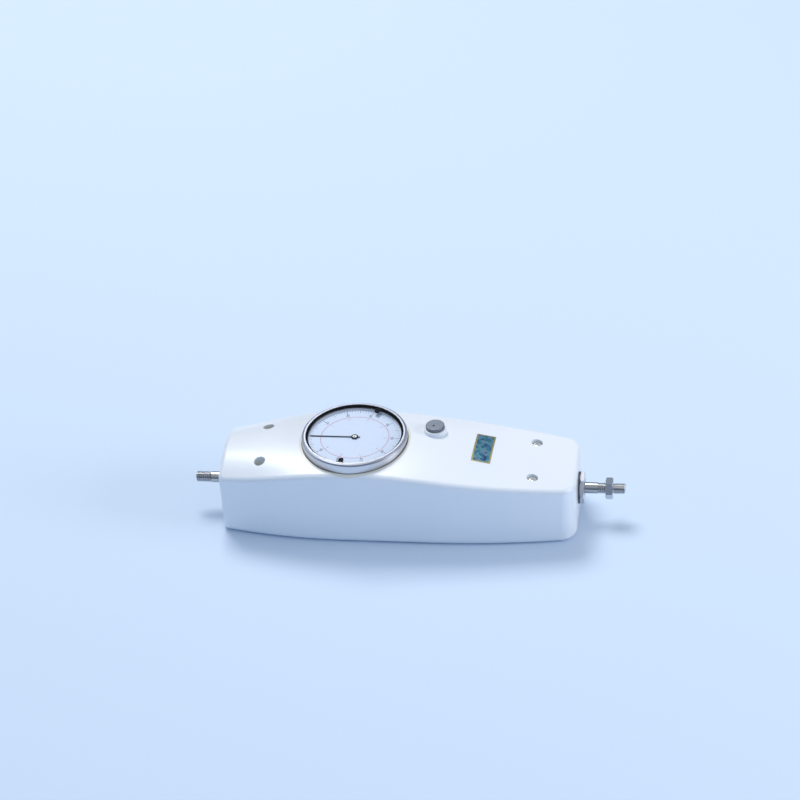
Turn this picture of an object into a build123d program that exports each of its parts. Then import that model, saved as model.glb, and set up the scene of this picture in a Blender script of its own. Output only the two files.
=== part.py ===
from build123d import *
import os
from math import acos, atan2, cos, degrees, pi, radians, sin, sqrt, tan

# A dial force gauge for push and pull. Millimetres. The gauge lies on its flat back:
# origin on the back under the dial's axis, +Z out of the dial, +X along the shaft
# towards the end that carries the lock nut, +Y across the case.

os.makedirs("parts", exist_ok=True)

# ---------------------------------------------------------------- case
left_reach = 71.0  # dial axis to the end face of the short end
right_reach = 117.6  # dial axis to the end face of the long end
half_width = 30.0
left_half_width = 22.6  # at the end faces, before the corners are rounded
right_half_width = 23.2
parallel_left = 5.0  # the sides run parallel between these two
parallel_right = 40.0
left_corner = 4.5
wall = 2.5
front_round = 3.0
back_round = 3.5
front_height = 50.0  # back to the top of the bezel
front_overrun = 22.0  # the front surface is drawn this far past both ends
# the front surface from the short end to the long end: how far its crest lies below the top
# of the bezel, and the radius of its crown
front_stations = (
    (-left_reach - front_overrun, 13.2, 40.0),
    (-50.0, 7.0, 66.0),
    (-16.0, 3.6, 138.0),
    (16.0, 3.1, 136.0),
    (60.0, 7.9, 130.0),
    (right_reach + front_overrun, 15.9, 150.0),
)
lap_height = 1.6  # the rear shell's lip stands inside the front shell
lap_gap = 0.1

# ---------------------------------------------------------------- fits
running_fit = 0.05  # radial, shafts in bushes
seat_fit = 0.02  # radial, bushes and the collar on their seats
guide_fit = 0.08  # radial, larger turning or sliding pieces
free_gap = 0.3  # between pieces that never touch

# ---------------------------------------------------------------- shaft and springs
shaft_share = 0.364  # height of the shaft axis, where the shells part, in the whole height
shaft_radius = 3.0
stud_radius = 2.95  # thread crests
stud_chamfer = 0.6
left_standout = 16.8  # shaft beyond the end faces
right_standout = 24.6
left_stud_length = 8.4
right_stud_length = 5.8  # beyond the groove at the lock nut
groove_width = 0.6
groove_depth = 0.4
thread_run = 8.0  # thread behind the groove, under and behind the lock nut
spring_wire = 0.9  # wire radius
spring_mean = 4.4
spring_turns = 7.0
bends_per_turn = 9
collar_radius = 6.5
collar_length = 7.0
collar_pin_radius = 1.0
nut_across_flats = 10.0
nut_thickness = 3.9

# ---------------------------------------------------------------- bushes
bush_radius = 5.0
bush_flange_radius = 7.0
bush_flange = 2.5
bush_washer_radius = 8.5
bush_washer_thickness = 0.9
bush_nut_across_flats = 15.0
bush_nut_thickness = 2.3

# ---------------------------------------------------------------- chassis
chassis_width = 20.0
chassis_plate = 2.0
chassis_standoff = 4.5  # rear shell floor to the chassis
upright = 3.0
upright_top = 8.5  # above the shaft axis
left_end_room = 15.0  # end face to the upright's face
right_end_room = 13.6
middle_upright = 31.0
wing_length = 56.0
wing_width = 34.0
chassis_screws_inset = 15.0  # from the middles of the end uprights, roughly
chassis_screws_y = 6.0
small_screw_radius = 1.45
small_head_radius = 2.6
small_head_height = 1.8
chassis_boss_radius = 3.6

# ---------------------------------------------------------------- case screws and mounting inserts
left_screws_inset = 22.0  # from the end faces
right_screws_inset = 22.8
screws_y = 15.2
post_radius = 4.4
recess_radius = 3.0
head_radius = 2.7
head_height = 2.0
cross_share = 1.3  # length of the cross slots in head radii
screw_radius = 1.5
screw_hole_radius = 1.6
left_seat_drop = 19.0  # from the top of the bezel to the recess floors
right_seat_drop = 17.4
screw_bite = 12.0  # length of a case screw in the rear post
cross_slot = 0.8
insert_radius = 3.2
insert_hole_radius = 2.0
insert_depth = 5.6
insert_boss_radius = 5.0
mount_pitch_x = 80.0
mount_pitch_y = 40.0

# ---------------------------------------------------------------- dial
bezel_inset = 2.0  # the dial stands this far inside the case's sides
bezel_side = 6.3
rim_width = 2.4
rim_round = 1.2
rim_shoulder = 0.3  # share of the rounding left at its middle
lip = 0.65
marker_slot = 0.4
marker_slot_depth = 0.6
crystal_recess = 0.1
crystal_thickness = 0.7
pointer_space = 1.0
dial_thickness = 0.5
shelf = 0.65
shelf_width = 1.6
spacer_width = 1.05
skirt = 1.1
plinth_inset = 0.8
pocket_gap = 0.4
neck_wall = 2.2
snap_ring_height = 0.6
snap_ring_depth = 0.5
snap_ring_gap_deg = 24.0

# ---------------------------------------------------------------- pointer and markers
pointer_width = 0.6
pointer_thickness = 0.2
pointer_tail = 2.8
hub_radius = 1.85
hub_cap_radius = 1.1
hub_cap_thickness = 0.1
hub_height = 0.25
marker_width = 2.5
marker_length = 4.1  # inside the rim
marker_foot_deg = 9.0
marker_tab_rise = 0.35
marker_a_deg = -100.0
marker_b_deg = 66.0

# ---------------------------------------------------------------- movement
rack_module = 0.5
pinion_teeth = 16
rack_teeth = 18
wheel_module = 0.4
wheel_teeth = 50
centre_teeth = 20
pressure_deg = 20.0
dedendum = 1.25  # tooth depth below the pitch line, in modules
addendum = 0.9  # tooth height above it, in modules
rack_addendum = 0.8
wheel_holes = 5
tooth_relief = 0.06  # each tooth is this much thinner than half the pitch
rack_flat = 2.4  # the rack's back, from the shaft axis
rack_pitch_line = 6.0
rack_lug = 4.6
rack_screw_radius = 0.7
rack_bite = 3.6  # length of a rack screw in the shaft
rack_screw_head = 1.2
wheel_thickness = 1.2
arbor_radius = 0.75
arbor_body = 1.5
plate_thickness = 1.2
plate_room = 4.5  # under the dial's pan to the upper plate's back
plate_step = 9.6  # from plate to plate
end_float = 0.2
wheel_rise = 0.8  # lower plate to the idler wheel
pinion_margin = 0.6  # the pinions are this much longer than what they drive
plate_bush_radius = 1.9
pillar_radius = 2.0
pillar_x = 24.0
pillar_y = 13.0
plate_margin = 3.4
movement_screw_radius = 0.9
movement_head_radius = 1.7
movement_head_height = 1.1

# ---------------------------------------------------------------- button
button_x = 41.5
button_y = 11.0
boss_radius = 6.1
boss_drop = 3.1  # from the top of the bezel to the top of the boss
boss_round = 0.5
cap_radius = 4.95
cap_proud = 1.8
cap_dome = 0.5
cap_skirt = 2.2  # length of the cap inside the boss
well_floor = 2.0
well_depth = 8.2  # boss top to the floor of the well
stem_radius = 1.5
button_wire = 0.35
button_coil = 3.2
button_turns = 4.0
clip_radius = 3.0
clip_thickness = 0.7

# ---------------------------------------------------------------- worked out from the above
shaft_height = front_height * shaft_share
left_tip = left_reach + left_standout
right_tip = right_reach + right_standout
left_upright = left_end_room - left_reach  # faces towards the short end
right_upright = right_reach - right_end_room
mount_centre_x = (right_reach - left_reach) / 2
rim_top = front_height
bezel_radius = half_width - bezel_inset
plinth_radius = half_width - plinth_inset
boss_top = front_height - boss_drop
slot_top = rim_top - lip
slot_bottom = slot_top - marker_slot
crystal_top = slot_bottom - crystal_recess
crystal_bottom = crystal_top - crystal_thickness
dial_top = crystal_bottom - pointer_space
dial_bottom = dial_top - dial_thickness
shelf_bottom = dial_bottom - shelf
rim_radius = bezel_radius - rim_width
skirt_radius = bezel_radius - skirt
bezel_bottom = rim_top - bezel_side
plinth_top = bezel_bottom - free_gap
neck_radius = skirt_radius - guide_fit
neck_top = shelf_bottom - free_gap
snap_ring_bottom = (bezel_bottom + shelf_bottom) / 2 - snap_ring_height
pan_bottom = plinth_top - wall
inlay_radius = rim_radius - lap_gap / 2  # what drops into the bezel
pointer_reach = inlay_radius - spacer_width - free_gap
marker_tip_radius = rim_radius - marker_length
upper_plate_bottom = pan_bottom - plate_room
lower_plate_bottom = upper_plate_bottom - plate_step

pinion_radius = rack_module * pinion_teeth / 2
wheel_radius = wheel_module * wheel_teeth / 2
centre_radius = wheel_module * centre_teeth / 2
idler_y = rack_pitch_line + pinion_radius
idler_x = -sqrt((wheel_radius + centre_radius) ** 2 - idler_y**2)
mesh_deg = degrees(atan2(-idler_y, -idler_x))  # from the idler towards the dial axis

chassis_bottom = wall + chassis_standoff
chassis_top = chassis_bottom + chassis_plate
bush_bore = shaft_radius + running_fit
push_seat = right_upright - bush_flange
pull_seat = middle_upright + upright
collar_left = (push_seat + pull_seat - collar_length) / 2
case_screws_at = (
    (left_screws_inset - left_reach, front_height - left_seat_drop),
    (right_reach - right_screws_inset, front_height - right_seat_drop),
)
post_places = [(x, side * screws_y) for x, seat in case_screws_at for side in (-1, 1)]
insert_places = [
    (mount_centre_x + sx * mount_pitch_x / 2, sy * mount_pitch_y / 2) for sx in (-1, 1) for sy in (-1, 1)
]
chassis_screws_at = [
    (x, side * chassis_screws_y)
    for x in (left_upright + chassis_screws_inset, right_upright - chassis_screws_inset)
    for side in (-1, 1)
]
pillar_places = [(sx * pillar_x, sy * pillar_y) for sx in (-1, 1) for sy in (-1, 1)]
shaft_axis = Axis((0, 0, shaft_height), (1, 0, 0))
shaft_profile_plane = Plane(origin=(0, 0, shaft_height), x_dir=(1, 0, 0), z_dir=(0, -1, 0))


def across(x):
    """The plane square to the shaft at x, with its origin on the shaft axis."""
    return Plane(origin=(x, 0, shaft_height), x_dir=(0, 1, 0), z_dir=(1, 0, 0))


# ================================================================ case shells
def plan_outline(inset=0.0):
    """The case seen from the front, drawn in from its outside by inset."""
    with BuildSketch() as outline:
        with BuildLine():
            Line((-left_reach, 0), (-left_reach, left_half_width))
            TangentArc((-parallel_left, half_width), (-left_reach, left_half_width), tangent=(-1, 0))
            Line((-parallel_left, half_width), (parallel_right, half_width))
            TangentArc((parallel_right, half_width), (right_reach, right_half_width), tangent=(1, 0))
            Line((right_reach, right_half_width), (right_reach, 0))
            mirror(about=Plane.XZ)
        make_face()
        corners = outline.vertices().filter_by(lambda corner: abs(corner.Y) > left_half_width / 2)
        fillet(corners.group_by(Axis.X)[0], left_corner)
        if inset:
            offset(amount=-inset)
    return outline.sketch


def under_front(inset=0.0):
    """Everything behind the crowned front surface, drawn in by inset."""
    reach = half_width + wall
    with BuildPart() as block:
        for station, drop, crown in front_stations:
            crest = front_height - drop
            side = crest - crown + sqrt((crown - inset) ** 2 - reach**2)
            with BuildSketch(Plane(origin=(station, 0, 0), x_dir=(0, 1, 0), z_dir=(1, 0, 0))):
                with BuildLine():
                    Polyline((reach, side), (reach, -wall), (-reach, -wall), (-reach, side))
                    ThreePointArc((-reach, side), (0, crest - inset), (reach, side))
                make_face()
        loft()
    return block.part


def case_block(inset=0.0):
    """The case's closed outer form, or with an inset the form of its hollow."""
    with BuildPart() as block:
        with BuildSketch(Plane.XY.offset(inset)):
            add(plan_outline(inset))
        extrude(amount=front_height)
        add(under_front(inset), mode=Mode.INTERSECT)
        if not inset:
            fillet(block.faces().sort_by(Axis.Z)[-1].edges(), front_round)
            fillet(block.faces().sort_by(Axis.Z)[0].edges(), back_round)
    return block.part


outer = case_block()
hollow = case_block(wall)

with BuildPart() as front_posts:
    with BuildSketch(Plane.XY.offset(shaft_height)):
        with Locations(*post_places):
            Circle(post_radius)
    extrude(amount=front_height - shaft_height)
    add(outer, mode=Mode.INTERSECT)

with BuildPart() as boss:
    with BuildSketch(Plane.XY.offset(boss_top - well_depth - well_floor)):
        with Locations((button_x, button_y)):
            Circle(boss_radius)
    extrude(amount=well_depth + well_floor)
    fillet(boss.edges().group_by(Axis.Z)[-1], boss_round)

with BuildPart() as front_shell:
    add(outer)
    add(hollow, mode=Mode.SUBTRACT)
    split(bisect_by=Plane.XY.offset(shaft_height), keep=Keep.TOP)
    # room for the rear shell's lip
    with BuildSketch(Plane.XY.offset(shaft_height)):
        add(plan_outline(wall / 2))
    extrude(amount=lap_height + lap_gap, mode=Mode.SUBTRACT)
    add(front_posts.part)
    # pan and plinth under the dial, then the pocket that the bezel turns in
    with BuildSketch(Plane.XY.offset(pan_bottom)):
        Circle(plinth_radius)
    extrude(amount=wall)
    with BuildSketch(Plane.XY.offset(plinth_top)):
        Circle(bezel_radius + pocket_gap)
    extrude(amount=front_height - plinth_top, mode=Mode.SUBTRACT)
    # neck that carries the bezel, with a groove for the snap ring
    with BuildSketch(Plane.XY.offset(plinth_top)):
        Circle(neck_radius)
        Circle(neck_radius - neck_wall, mode=Mode.SUBTRACT)
    extrude(amount=neck_top - plinth_top)
    with BuildSketch(Plane.XY.offset(snap_ring_bottom - lap_gap)):
        Circle(bezel_radius)
        Circle(skirt_radius - snap_ring_depth - lap_gap, mode=Mode.SUBTRACT)
    extrude(amount=snap_ring_height + 2 * lap_gap, mode=Mode.SUBTRACT)
    # passage for the pointer's arbor
    with BuildSketch(Plane.XY.offset(pan_bottom)):
        Circle(arbor_body + free_gap)
    extrude(amount=wall, mode=Mode.SUBTRACT)
    # button well
    add(boss.part)
    with BuildSketch(Plane.XY.offset(boss_top - well_depth)):
        with Locations((button_x, button_y)):
            Circle(cap_radius + guide_fit)
    extrude(amount=well_depth, mode=Mode.SUBTRACT)
    with BuildSketch(Plane.XY.offset(boss_top - well_depth - well_floor)):
        with Locations((button_x, button_y)):
            Circle(stem_radius + guide_fit)
    extrude(amount=well_floor, mode=Mode.SUBTRACT)
    # screw holes and head recesses
    for screws_x, seat in case_screws_at:
        with BuildSketch(Plane.XY.offset(seat)):
            with Locations((screws_x, screws_y), (screws_x, -screws_y)):
                Circle(recess_radius)
        extrude(amount=front_height - seat, mode=Mode.SUBTRACT)
        with BuildSketch(Plane.XY.offset(shaft_height)):
            with Locations((screws_x, screws_y), (screws_x, -screws_y)):
                Circle(screw_hole_radius)
        extrude(amount=seat - shaft_height, mode=Mode.SUBTRACT)
    # shaft bushes in the end walls
    with BuildSketch(across(-left_reach), across(right_reach - wall)):
        Circle(bush_radius + seat_fit)
    extrude(amount=wall, mode=Mode.SUBTRACT)
front_shell.part.label = "front_shell"
export_step(front_shell.part, "parts/front_shell.step")

with BuildPart() as rear_posts:
    with BuildSketch(Plane.XY):
        with Locations(*post_places):
            Circle(post_radius)
    extrude(amount=shaft_height)
    with BuildSketch(Plane.XY):
        with Locations(*insert_places):
            Circle(insert_boss_radius)
    extrude(amount=chassis_bottom - free_gap)
    with BuildSketch(Plane.XY):
        with Locations(*chassis_screws_at):
            Circle(chassis_boss_radius)
    extrude(amount=chassis_bottom)
    add(outer, mode=Mode.INTERSECT)

with BuildPart() as rear_shell:
    add(outer)
    add(hollow, mode=Mode.SUBTRACT)
    split(bisect_by=Plane.XY.offset(shaft_height), keep=Keep.BOTTOM)
    # lip inside the front shell
    with BuildSketch(Plane.XY.offset(shaft_height)):
        add(plan_outline(wall / 2 + lap_gap))
        add(plan_outline(wall), mode=Mode.SUBTRACT)
    extrude(amount=lap_height)
    add(rear_posts.part)
    # screw holes, blind from inside; insert holes, blind from the back
    with BuildSketch(Plane.XY.offset(shaft_height - screw_bite)):
        with Locations(*post_places):
            Circle(screw_radius)
    extrude(amount=screw_bite, mode=Mode.SUBTRACT)
    with BuildSketch(Plane.XY.offset(chassis_bottom - chassis_standoff)):
        with Locations(*chassis_screws_at):
            Circle(small_screw_radius)
    extrude(amount=chassis_standoff, mode=Mode.SUBTRACT)
    with BuildSketch(Plane.XY):
        with Locations(*insert_places):
            Circle(insert_radius)
    extrude(amount=insert_depth, mode=Mode.SUBTRACT)
    # shaft bushes in the end walls
    with BuildSketch(across(-left_reach), across(right_reach - wall)):
        Circle(bush_radius + seat_fit)
    extrude(amount=wall, mode=Mode.SUBTRACT)
rear_shell.part.label = "rear_shell"
export_step(rear_shell.part, "parts/rear_shell.step")

with BuildPart() as case_screws:
    for screws_x, seat in case_screws_at:
        with BuildSketch(Plane.XY.offset(seat)):
            with Locations((screws_x, screws_y), (screws_x, -screws_y)):
                Circle(head_radius)
        extrude(amount=head_height)
        with BuildSketch(Plane.XY.offset(seat + head_height / 2)):
            with Locations((screws_x, screws_y), (screws_x, -screws_y)):
                Rectangle(head_radius * cross_share, cross_slot)
                Rectangle(cross_slot, head_radius * cross_share)
        extrude(amount=head_height / 2, mode=Mode.SUBTRACT)
        with BuildSketch(Plane.XY.offset(shaft_height - screw_bite)):
            with Locations((screws_x, screws_y), (screws_x, -screws_y)):
                Circle(screw_radius)
        extrude(amount=screw_bite + seat - shaft_height)
case_screws.part.label = "case_screws"
export_step(case_screws.part, "parts/case_screws.step")

with BuildPart() as mount_inserts:
    with BuildSketch(Plane.XY):
        with Locations(*insert_places):
            Circle(insert_radius)
            Circle(insert_hole_radius, mode=Mode.SUBTRACT)
    extrude(amount=insert_depth)
mount_inserts.part.label = "mount_inserts"
export_step(mount_inserts.part, "parts/mount_inserts.step")

# ================================================================ chassis and bushes
bearing_places = [(idler_x, idler_y), (0, 0)]  # idler arbor, pointer arbor

with BuildPart() as chassis:
    with BuildSketch(Plane.XY.offset(chassis_bottom)):
        with Locations(((left_upright + right_upright + upright) / 2, 0)):
            Rectangle(right_upright + upright - left_upright, chassis_width)
        RectangleRounded(wing_length, wing_width, pillar_radius)
        with Locations(*chassis_screws_at):
            Circle(small_screw_radius, mode=Mode.SUBTRACT)
        with Locations(bearing_places[0]):
            Circle(plate_bush_radius, mode=Mode.SUBTRACT)
    extrude(amount=chassis_plate)
    with BuildSketch(across(left_upright), across(middle_upright), across(right_upright)):
        with Locations((0, (chassis_bottom - shaft_height + upright_top) / 2)):
            RectangleRounded(chassis_width, upright_top + shaft_height - chassis_bottom, pillar_radius)
    extrude(amount=upright)
    with BuildSketch(across(left_upright), across(right_upright)):
        Circle(bush_radius + seat_fit)
    extrude(amount=upright, mode=Mode.SUBTRACT)
    with BuildSketch(across(middle_upright)):
        Circle(shaft_radius + free_gap)
    extrude(amount=upright, mode=Mode.SUBTRACT)
chassis.part.label = "chassis"
export_step(chassis.part, "parts/chassis.step")

with BuildPart() as chassis_screws:
    with BuildSketch(Plane.XY.offset(chassis_top)):
        with Locations(*chassis_screws_at):
            Circle(small_head_radius)
    extrude(amount=small_head_height)
    with BuildSketch(Plane.XY.offset(chassis_bottom - chassis_standoff)):
        with Locations(*chassis_screws_at):
            Circle(small_screw_radius)
    extrude(amount=chassis_standoff + chassis_plate)
chassis_screws.part.label = "chassis_screws"
export_step(chassis_screws.part, "parts/chassis_screws.step")

with BuildPart() as left_bush:
    with BuildSketch(across(-left_reach)):
        Circle(bush_radius)
        Circle(bush_bore, mode=Mode.SUBTRACT)
    extrude(amount=left_upright + upright + left_reach)
    with BuildSketch(across(left_upright + upright)):
        Circle(bush_flange_radius)
        Circle(bush_bore, mode=Mode.SUBTRACT)
    extrude(amount=bush_flange)
left_bush.part.label = "left_bush"
export_step(left_bush.part, "parts/left_bush.step")

bush_washer_outer = right_reach + bush_washer_thickness
bush_end = bush_washer_outer + bush_nut_thickness
with BuildPart() as right_bush:
    with BuildSketch(across(push_seat)):
        Circle(bush_flange_radius)
        Circle(bush_bore, mode=Mode.SUBTRACT)
    extrude(amount=bush_flange)
    with BuildSketch(across(right_upright)):
        Circle(bush_radius)
        Circle(bush_bore, mode=Mode.SUBTRACT)
    extrude(amount=bush_end - right_upright)
    chamfer(right_bush.edges().group_by(Axis.X)[-1].sort_by(SortBy.RADIUS)[-1], free_gap)
right_bush.part.label = "right_bush"
export_step(right_bush.part, "parts/right_bush.step")

with BuildPart() as bush_washer:
    with BuildSketch(across(right_reach)):
        Circle(bush_washer_radius)
        Circle(bush_radius, mode=Mode.SUBTRACT)
    extrude(amount=bush_washer_thickness)
bush_washer.part.label = "bush_washer"
export_step(bush_washer.part, "parts/bush_washer.step")


def hex_nut(start, thickness, across_flats, bore):
    """A hexagon nut on the shaft's axis, with its corners turned off at both faces."""
    corner = across_flats / sqrt(3)
    crown = corner - across_flats / 2
    with BuildPart() as nut:
        with BuildSketch(across(start)):
            RegularPolygon(corner, 6)
        extrude(amount=thickness)
        with BuildSketch(shaft_profile_plane):
            with BuildLine():
                Polyline(
                    (start, 0),
                    (start, corner - crown),
                    (start + crown / 2, corner),
                    (start + thickness - crown / 2, corner),
                    (start + thickness, corner - crown),
                    (start + thickness, 0),
                    close=True,
                )
            make_face()
        revolve(axis=shaft_axis, mode=Mode.INTERSECT)
        with BuildSketch(across(start)):
            Circle(bore)
        extrude(amount=thickness, mode=Mode.SUBTRACT)
    return nut.part


with BuildPart() as bush_nut:
    add(hex_nut(bush_washer_outer, bush_nut_thickness, bush_nut_across_flats, bush_radius))
bush_nut.part.label = "bush_nut"
export_step(bush_nut.part, "parts/bush_nut.step")

# ================================================================ measuring shaft
groove_right = right_tip - right_stud_length
groove_left = groove_right - groove_width
nut_start = groove_left - nut_thickness
rack_length = rack_module * pi * rack_teeth + 2 * rack_lug
with BuildPart() as measuring_shaft:
    with BuildSketch(shaft_profile_plane):
        with BuildLine():
            Polyline(
                (-left_tip, 0),
                (-left_tip, stud_radius - stud_chamfer),
                (-left_tip + stud_chamfer, stud_radius),
                (-left_tip + left_stud_length - groove_width, stud_radius),
                (-left_tip + left_stud_length - groove_width, stud_radius - groove_depth),
                (-left_tip + left_stud_length, stud_radius - groove_depth),
                (-left_tip + left_stud_length, shaft_radius),
                (groove_left - thread_run, shaft_radius),
                (groove_left - thread_run, stud_radius),
                (groove_left, stud_radius),
                (groove_left, stud_radius - groove_depth),
                (groove_right, stud_radius - groove_depth),
                (groove_right, stud_radius),
                (right_tip - stud_chamfer, stud_radius),
                (right_tip, stud_radius - stud_chamfer),
                (right_tip, 0),
                close=True,
            )
        make_face()
    revolve(axis=shaft_axis)
    # flat that the rack is screwed to, its screw holes, and the collar's pin hole
    with BuildSketch(across(idler_x - rack_length / 2)):
        with Locations((rack_flat + shaft_radius, 0)):
            Rectangle(2 * shaft_radius, 2 * shaft_radius)
    extrude(amount=rack_length, mode=Mode.SUBTRACT)
    with BuildSketch(Plane.XZ.offset(-rack_flat)):
        for side in (-1, 1):
            with Locations((idler_x + side * (rack_length - rack_lug) / 2, shaft_height)):
                Circle(rack_screw_radius)
    extrude(amount=rack_bite, mode=Mode.SUBTRACT)
    with BuildSketch(Plane.XZ.offset(-shaft_radius)):
        with Locations((collar_left + collar_length / 2, shaft_height)):
            Circle(collar_pin_radius)
    extrude(amount=2 * shaft_radius, mode=Mode.SUBTRACT)
measuring_shaft.part.label = "measuring_shaft"
export_step(measuring_shaft.part, "parts/measuring_shaft.step")

with BuildPart() as lock_nut:
    add(hex_nut(nut_start, nut_thickness, nut_across_flats, stud_radius + running_fit))
lock_nut.part.label = "lock_nut"
export_step(lock_nut.part, "parts/lock_nut.step")

with BuildPart() as spring_collar:
    with BuildSketch(across(collar_left)):
        Circle(collar_radius)
        Circle(shaft_radius + seat_fit, mode=Mode.SUBTRACT)
    extrude(amount=collar_length)
    with BuildSketch(Plane.XZ.offset(-collar_radius)):
        with Locations((collar_left + collar_length / 2, shaft_height)):
            Circle(collar_pin_radius)
    extrude(amount=2 * collar_radius, mode=Mode.SUBTRACT)
spring_collar.part.label = "spring_collar"
export_step(spring_collar.part, "parts/spring_collar.step")

with BuildPart() as collar_pin:
    with BuildSketch(Plane.XZ.offset(-collar_radius)):
        with Locations((collar_left + collar_length / 2, shaft_height)):
            Circle(collar_pin_radius)
    extrude(amount=2 * collar_radius)
collar_pin.part.label = "collar_pin"
export_step(collar_pin.part, "parts/collar_pin.step")


def coil_spring(base, length, mean, wire, turns):
    """A compression spring of square wire along a plane's normal, bent in straight lengths."""
    bends = round(turns * bends_per_turn)
    rise = (length - 2 * wire) / bends
    points = []
    for bend in range(bends + 1):
        angle = 2 * pi * bend / bends_per_turn
        points.append(base.from_local_coords((mean * cos(angle), mean * sin(angle), wire + bend * rise)))
    with BuildPart() as spring:
        with BuildLine():
            coil = Polyline(*points)
        with BuildSketch(Plane(origin=coil @ 0, z_dir=coil % 0)):
            RegularPolygon(wire, 4)
        sweep(transition=Transition.RIGHT)
    return spring.part


with BuildPart() as pull_spring:
    add(coil_spring(across(pull_seat), collar_left - pull_seat, spring_mean, spring_wire, spring_turns))
pull_spring.part.label = "pull_spring"
export_step(pull_spring.part, "parts/pull_spring.step")

push_from = collar_left + collar_length
with BuildPart() as push_spring:
    add(coil_spring(across(push_from), push_seat - push_from, spring_mean, spring_wire, spring_turns))
push_spring.part.label = "push_spring"
export_step(push_spring.part, "parts/push_spring.step")


# ================================================================ rack and gears
def involute(angle):
    return tan(angle) - angle


def gear_outline(teeth, module, phase_deg):
    """An involute gear about the origin, with the middle of one tooth at phase_deg."""
    pitch_radius = module * teeth / 2
    base = pitch_radius * cos(radians(pressure_deg))
    root = pitch_radius - dedendum * module
    tip = pitch_radius + addendum * module
    half_tooth = pi / 2 / teeth - tooth_relief / 2 / pitch_radius + involute(radians(pressure_deg))
    radii = [root, pitch_radius, tip]
    if base > root:
        radii.insert(1, (base + pitch_radius) / 2)
    flank = [(radius, half_tooth - involute(acos(min(1, base / radius)))) for radius in radii]
    points = []
    for tooth in range(teeth):
        middle = radians(phase_deg) + 2 * pi * tooth / teeth
        for radius, angle in flank:
            points.append((radius * cos(middle - angle), radius * sin(middle - angle)))
        for radius, angle in reversed(flank):
            points.append((radius * cos(middle + angle), radius * sin(middle + angle)))
    with BuildSketch() as outline:
        with BuildLine():
            Polyline(*points, close=True)
        make_face()
    return outline.sketch


rack_pitch = pi * rack_module
rack_slope = tan(radians(pressure_deg))
rack_root = rack_pitch_line - dedendum * rack_module
rack_tip = rack_pitch_line + rack_addendum * rack_module
rack_half_height = sqrt(shaft_radius**2 - rack_flat**2)  # as wide as the shaft's flat
rack_screw_length = rack_root - rack_flat + rack_bite


def rack_outline():
    """The rack seen along the gears' axes, with its teeth across the middle."""
    half_flank = rack_pitch / 4 - tooth_relief / 2
    at_root = half_flank + rack_slope * (rack_pitch_line - rack_root)
    at_tip = half_flank - rack_slope * (rack_tip - rack_pitch_line)
    left, right = idler_x - rack_length / 2, idler_x + rack_length / 2
    points = [(left, rack_flat), (left, rack_root)]
    for tooth in range(rack_teeth):
        middle = idler_x + (tooth - (rack_teeth - 1) / 2) * rack_pitch
        points += [
            (middle - at_root, rack_root),
            (middle - at_tip, rack_tip),
            (middle + at_tip, rack_tip),
            (middle + at_root, rack_root),
        ]
    points += [(right, rack_root), (right, rack_flat)]
    with BuildSketch() as outline:
        with BuildLine():
            Polyline(*points, close=True)
        make_face()
    return outline.sketch


with BuildPart() as rack:
    with BuildSketch(Plane.XY.offset(shaft_height - rack_half_height)):
        add(rack_outline())
    extrude(amount=2 * rack_half_height)
    with BuildSketch(Plane.XZ.offset(-rack_root)):
        for side in (-1, 1):
            with Locations((idler_x + side * (rack_length - rack_lug) / 2, shaft_height)):
                Circle(rack_screw_radius)
    extrude(amount=rack_root - rack_flat, mode=Mode.SUBTRACT)
rack.part.label = "rack"
export_step(rack.part, "parts/rack.step")

with BuildPart() as rack_screws:
    for side in (-1, 1):
        with BuildSketch(Plane.XZ.offset(-rack_root)):
            with Locations((idler_x + side * (rack_length - rack_lug) / 2, shaft_height)):
                Circle(rack_screw_radius)
        extrude(amount=rack_screw_length)
        with BuildSketch(Plane.XZ.offset(-rack_root - rack_screw_radius)):
            with Locations((idler_x + side * (rack_length - rack_lug) / 2, shaft_height)):
                Circle(rack_screw_head)
        extrude(amount=rack_screw_radius)
rack_screws.part.label = "rack_screws"
export_step(rack_screws.part, "parts/rack_screws.step")

idler_axis_plane = Plane(origin=(idler_x, idler_y, 0))
lower_plate_top = lower_plate_bottom + plate_thickness
upper_plate_top = upper_plate_bottom + plate_thickness
wheel_bottom = lower_plate_top + wheel_rise

with BuildPart() as rack_pinion:
    # arbor: pivot in the chassis, journal in the lower plate, shoulder, pivot in the upper plate
    with BuildSketch(Plane(origin=(idler_x, idler_y, 0), x_dir=(1, 0, 0), z_dir=(0, -1, 0))):
        with BuildLine():
            Polyline(
                (0, chassis_bottom + end_float),
                (arbor_radius, chassis_bottom + end_float),
                (arbor_radius, chassis_top + end_float),
                (arbor_body, chassis_top + end_float),
                (arbor_body, lower_plate_bottom - end_float),
                (arbor_radius, lower_plate_bottom - end_float),
                (arbor_radius, lower_plate_top + end_float),
                (arbor_body, lower_plate_top + end_float),
                (arbor_body, upper_plate_bottom - end_float),
                (arbor_radius, upper_plate_bottom - end_float),
                (arbor_radius, upper_plate_top),
                (0, upper_plate_top),
                close=True,
            )
        make_face()
    revolve(axis=Axis((idler_x, idler_y, 0), (0, 0, 1)))
    with BuildSketch(idler_axis_plane.offset(shaft_height - rack_half_height - pinion_margin)):
        add(gear_outline(pinion_teeth, rack_module, -90))
    extrude(amount=2 * (rack_half_height + pinion_margin))
rack_pinion.part.label = "rack_pinion"
export_step(rack_pinion.part, "parts/rack_pinion.step")

with BuildPart() as idler_wheel:
    with BuildSketch(idler_axis_plane.offset(wheel_bottom)):
        add(gear_outline(wheel_teeth, wheel_module, mesh_deg))
        Circle(arbor_body, mode=Mode.SUBTRACT)
        with PolarLocations((wheel_radius + 2 * arbor_body) / 2, wheel_holes):
            Circle(arbor_body, mode=Mode.SUBTRACT)
    extrude(amount=wheel_thickness)
idler_wheel.part.label = "idler_wheel"
export_step(idler_wheel.part, "parts/idler_wheel.step")

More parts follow.
